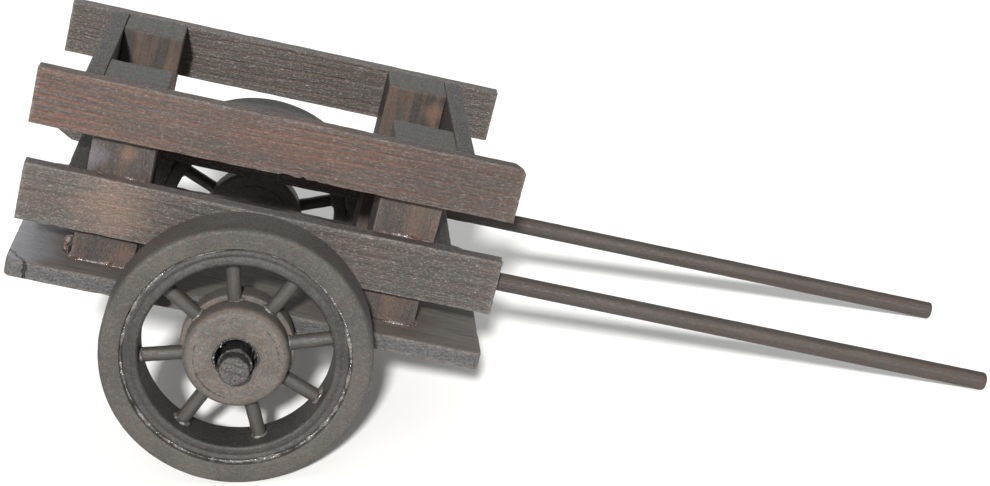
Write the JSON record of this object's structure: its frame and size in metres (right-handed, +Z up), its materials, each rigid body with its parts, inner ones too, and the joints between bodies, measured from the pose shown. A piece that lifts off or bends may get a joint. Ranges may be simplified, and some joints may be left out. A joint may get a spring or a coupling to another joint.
{
  "type": "garden cart",
  "caption": "Small two-wheeled wooden handcart: an open slatted box on a flat bed, spoked wheels turning on a round axle, and two straight pulling shafts.",
  "frame": {"origin": "on the ground, under the middle of the standing cart's overall box", "axes": "+X forwards, the way the shafts point; +Y to the cart's left; +Z up. The bed is nose-down because the cart stands on its wheels and its shaft tips"},
  "size_m": [0.319, 0.1604, 0.1308],
  "materials": {
    "bed_wood": "dark grey-brown stained board, smooth face, rough sawn edges",
    "post_wood": "stained square softwood with orange-brown streaks along the grain",
    "rail_wood": "grey-brown stained strip, fibrous planed face",
    "red_rail_wood": "reddish-brown stained strip with lengthwise growth lines",
    "slat_wood": "dark grey-brown stained strip",
    "shaft_wood": "smooth stained dowel with reddish streaks",
    "axle_wood": "stained dowel with speckled end grain",
    "tyre_wood": "matte taupe turned ring",
    "rim_wood": "matte dark taupe turned ring",
    "hub_wood": "matte light taupe turned disc",
    "spoke_wood": "dark stained dowel",
    "dried_glue": "glossy dried wood glue in the joints"
  },
  "bodies": {
    "cart_frame": {"bed_board": "bed_wood", "post_rear_right": "post_wood", "post_front_right": "post_wood", "post_rear_left": "post_wood", "post_front_left": "post_wood", "side_rail_upper_right": "red_rail_wood", "side_rail_lower_right": "rail_wood", "side_rail_upper_left": "rail_wood", "side_rail_lower_left": "rail_wood", "cross_slat_rear_upper": "slat_wood", "cross_slat_rear_lower": "slat_wood", "cross_slat_front_upper": "slat_wood", "cross_slat_front_lower": "slat_wood", "shaft_right": "shaft_wood", "shaft_left": "shaft_wood", "axle": "axle_wood"},
    "wheel_right": {"tyre_right": "tyre_wood", "rim_right": "rim_wood", "hub_disc_outer_right": "hub_wood", "hub_disc_inner_right": "hub_wood", "spoke_right_1": "spoke_wood", "spoke_right_2": "spoke_wood", "spoke_right_3": "spoke_wood", "spoke_right_4": "spoke_wood", "spoke_right_5": "spoke_wood", "spoke_right_6": "spoke_wood", "spoke_right_7": "spoke_wood", "spoke_right_8": "spoke_wood"},
    "wheel_left": {"tyre_left": "tyre_wood", "rim_left": "rim_wood", "hub_disc_outer_left": "hub_wood", "hub_disc_inner_left": "hub_wood", "spoke_left_1": "spoke_wood", "spoke_left_2": "spoke_wood", "spoke_left_3": "spoke_wood", "spoke_left_4": "spoke_wood", "spoke_left_5": "spoke_wood", "spoke_left_6": "spoke_wood", "spoke_left_7": "spoke_wood", "spoke_left_8": "spoke_wood"}
  },
  "joints": [
    {"name": "wheel_right_spin", "type": "hinge", "parent": "cart_frame", "child": "wheel_right", "pos_m": [-0.08752, -0.06485, 0.04239], "axis": [0, 1, 0], "continuous": true},
    {"name": "wheel_left_spin", "type": "hinge", "parent": "cart_frame", "child": "wheel_left", "pos_m": [-0.08752, 0.06485, 0.04239], "axis": [0, 1, 0], "continuous": true}
  ]
}
